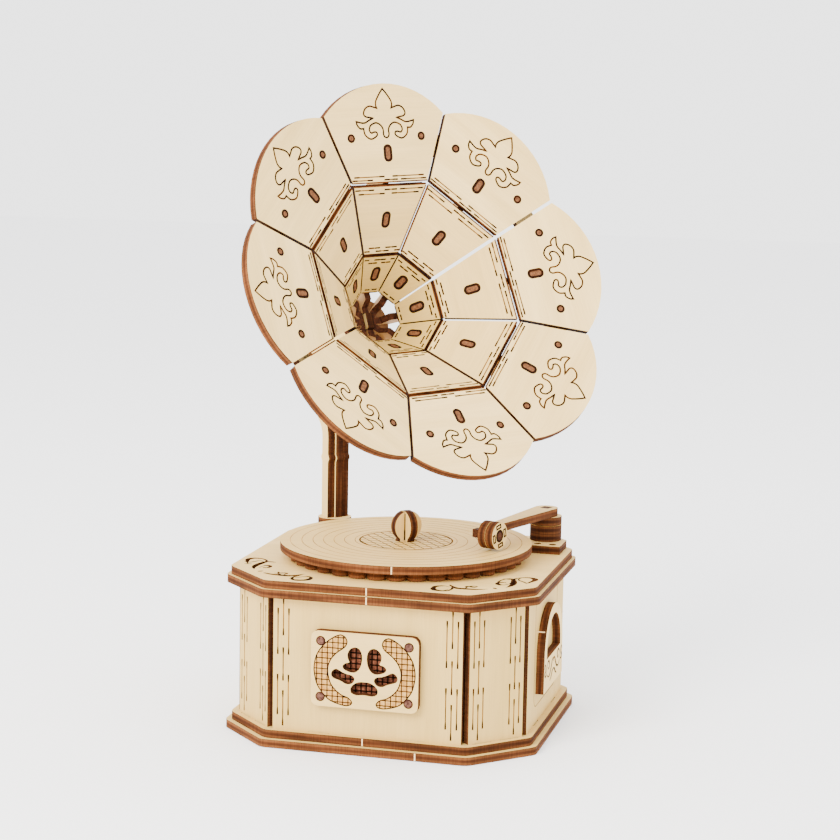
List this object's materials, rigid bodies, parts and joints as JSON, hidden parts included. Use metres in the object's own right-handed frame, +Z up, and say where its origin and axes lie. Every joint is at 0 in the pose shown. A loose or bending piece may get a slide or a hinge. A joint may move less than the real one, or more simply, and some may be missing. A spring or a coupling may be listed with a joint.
{
  "type": "disc music box",
  "caption": "Plywood music box shaped like a gramophone: eight sided case, turning record, swinging tone arm, bent neck and petalled horn.",
  "frame": {"origin": "middle of the case's underside, below the turntable axis", "axes": "+Z up, front of the case towards -Y, tone arm on the +X side"},
  "size_m": [0.1229, 0.1209, 0.2337],
  "materials": {
    "birch_ply": "laser cut birch plywood, unfinished, with burnt brown edges",
    "birch_dowel": "plain birch dowel",
    "zinc_bedplate": "die cast zinc, matt",
    "spring_steel": "ground steel",
    "brass": "bright brass"
  },
  "bodies": {
    "case_and_horn": {"foot_slab": "birch_ply", "plinth_slab": "birch_ply", "cornice_slab": "birch_ply", "deck_slab": "birch_ply", "wall_front": "birch_ply", "wall_front_right": "birch_ply", "wall_right": "birch_ply", "wall_back_right": "birch_ply", "wall_back": "birch_ply", "wall_back_left": "birch_ply", "wall_left": "birch_ply", "wall_front_left": "birch_ply", "grille_plate": "birch_ply", "arch_plate": "birch_ply", "arm_mount_plate": "birch_ply", "pedestal_disc_1": "birch_ply", "pedestal_disc_2": "birch_ply", "column_foot_1": "birch_ply", "column_foot_2": "birch_ply", "neck_core": "birch_ply", "neck_right": "birch_ply", "neck_left": "birch_ply", "rib_spider": "birch_ply", "throat_ring": "birch_ply", "bell_panel_1": "birch_ply", "bell_panel_2": "birch_ply", "bell_panel_3": "birch_ply", "bell_panel_4": "birch_ply", "bell_panel_5": "birch_ply", "bell_panel_6": "birch_ply", "bell_panel_7": "birch_ply", "bell_panel_8": "birch_ply", "petal_1": "birch_ply", "petal_2": "birch_ply", "petal_3": "birch_ply", "petal_4": "birch_ply", "petal_5": "birch_ply", "petal_6": "birch_ply", "petal_7": "birch_ply", "petal_8": "birch_ply", "movement_bedplate": "zinc_bedplate", "tone_comb": "spring_steel"},
    "turntable": {"platter": "birch_ply", "record_disc": "birch_ply", "knob_disc_a": "birch_ply", "knob_disc_b": "birch_ply", "drive_spindle": "spring_steel", "spring_drum": "brass"},
    "arm": {"swivel_disc": "birch_ply", "tone_arm": "birch_ply", "pivot_post": "birch_dowel", "soundbox_front": "birch_ply", "soundbox_back": "birch_ply", "stylus_peg": "birch_dowel"},
    "cylinder": {"pinned_cylinder": "brass"},
    "governor": {"governor_fan": "brass"}
  },
  "joints": [
    {"name": "turntable_spin", "type": "hinge", "parent": "case_and_horn", "child": "turntable", "pos_m": [0, 0, 0.0602], "axis": [0, 0, 1], "continuous": true},
    {"name": "arm_swing", "type": "hinge", "parent": "case_and_horn", "child": "arm", "pos_m": [0.0456, 0.0354, 0.0692], "axis": [0, 0, 1], "range_deg": [-22, 30]},
    {"name": "cylinder_spin", "type": "hinge", "parent": "case_and_horn", "child": "cylinder", "pos_m": [0.02, 0, 0.01635], "axis": [1, 0, 0], "continuous": true},
    {"name": "governor_spin", "type": "hinge", "parent": "case_and_horn", "child": "governor", "pos_m": [-0.01149, 0.01149, 0.015], "axis": [0, 0, 1], "continuous": true}
  ],
  "couplings": [
    {"joint": "cylinder_spin", "follows": "turntable_spin", "ratio": 2},
    {"joint": "governor_spin", "follows": "turntable_spin", "ratio": -4}
  ]
}
